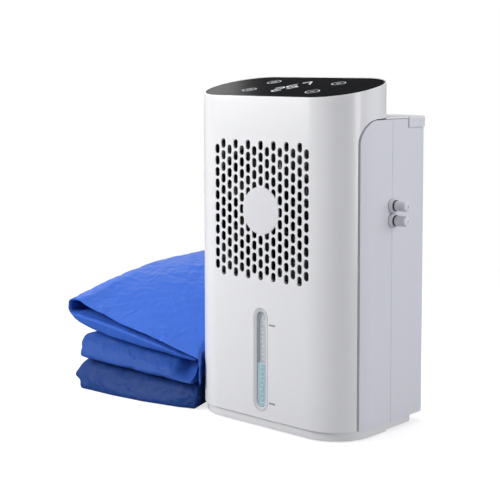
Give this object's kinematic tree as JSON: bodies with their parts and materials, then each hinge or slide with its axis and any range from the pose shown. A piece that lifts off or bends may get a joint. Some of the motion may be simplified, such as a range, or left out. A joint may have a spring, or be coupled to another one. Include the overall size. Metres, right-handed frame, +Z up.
{
  "type": "water cooling mattress pad",
  "caption": "Tower-shaped water cooling unit with air grille, water window, sloping panel, filler lid and hose spigots, beside its folded fabric mattress pad.",
  "frame": {"origin": "on the floor, under the middle of the cooling unit's outline", "axes": "+X along the unit's front, towards the hose spigots' side; -Y is the unit's front; +Z up"},
  "size_m": [0.3833, 0.2535, 0.3113],
  "materials": {
    "white_gloss": "gloss",
    "white_satin": "satin",
    "grey_satin": "satin",
    "black_glass": "high gloss",
    "clear_lens": "clear",
    "milky_plastic": "milky",
    "dark_plastic": "satin",
    "grey_rubber": "matte",
    "clear_hose": "soft clear hose",
    "bare_aluminium": "extruded",
    "bright_steel": "bright",
    "board_green": "solder mask",
    "ceramic_white": "ceramic",
    "display_grey": "satin",
    "blue_fabric": "smooth coated nylon"
  },
  "bodies": {
    "unit": {"front_shell": "white_gloss", "deck_plate": "white_gloss", "base_plate": "white_gloss", "side_panel_left": "white_satin", "side_panel_right": "white_satin", "rear_cover": "white_satin", "hose_connector_upper": "white_satin", "hose_connector_lower": "white_satin", "window_bezel": "grey_satin", "window_lens": "clear_lens", "control_panel": "black_glass", "display_module": "display_grey", "control_board": "board_green", "power_board": "board_green", "power_inlet": "dark_plastic", "hinge_pin_left": "bright_steel", "hinge_pin_right": "bright_steel", "foot_front_left": "grey_rubber", "foot_front_right": "grey_rubber", "foot_rear_left": "grey_rubber", "foot_rear_right": "grey_rubber", "water_tank": "milky_plastic", "tank_seal": "grey_rubber", "tank_top": "milky_plastic", "filler_duct": "milky_plastic", "float_stem": "milky_plastic", "pump_body": "dark_plastic", "pump_cover": "dark_plastic", "pump_hose": "clear_hose", "supply_hose": "clear_hose", "return_hose": "clear_hose", "fan_frame": "dark_plastic", "heat_sink": "bare_aluminium", "cooling_module": "ceramic_white", "water_block": "bare_aluminium", "block_clamp": "bright_steel", "clamp_screw_left": "bright_steel", "clamp_screw_right": "bright_steel", "mattress_pad": "blue_fabric"},
    "lid": {"tank_lid": "white_satin"},
    "fan": {"fan_rotor": "dark_plastic"},
    "impeller": {"pump_impeller": "white_gloss"},
    "level_float": {"float": "white_gloss"},
    "plug": {"drain_plug": "grey_rubber"}
  },
  "joints": [
    {"name": "lid_hinge", "type": "hinge", "parent": "unit", "child": "lid", "pos_m": [0, 0.0336, 0.2758], "axis": [1, 0, 0], "range_deg": [0, 95]},
    {"name": "fan_spin", "type": "hinge", "parent": "unit", "child": "fan", "pos_m": [0, -0.0426, 0.1949], "axis": [0, 1, 0], "continuous": true},
    {"name": "impeller_spin", "type": "hinge", "parent": "unit", "child": "impeller", "pos_m": [0.0215, 0.00726, 0.03], "axis": [0, 0, 1], "continuous": true},
    {"name": "float_slide", "type": "slide", "parent": "unit", "child": "level_float", "axis": [0, 0, 1], "range_m": [0, 0.0535]},
    {"name": "plug_pull", "type": "slide", "parent": "unit", "child": "plug", "axis": [0, 1, 0], "range_m": [0, 0.025]}
  ]
}
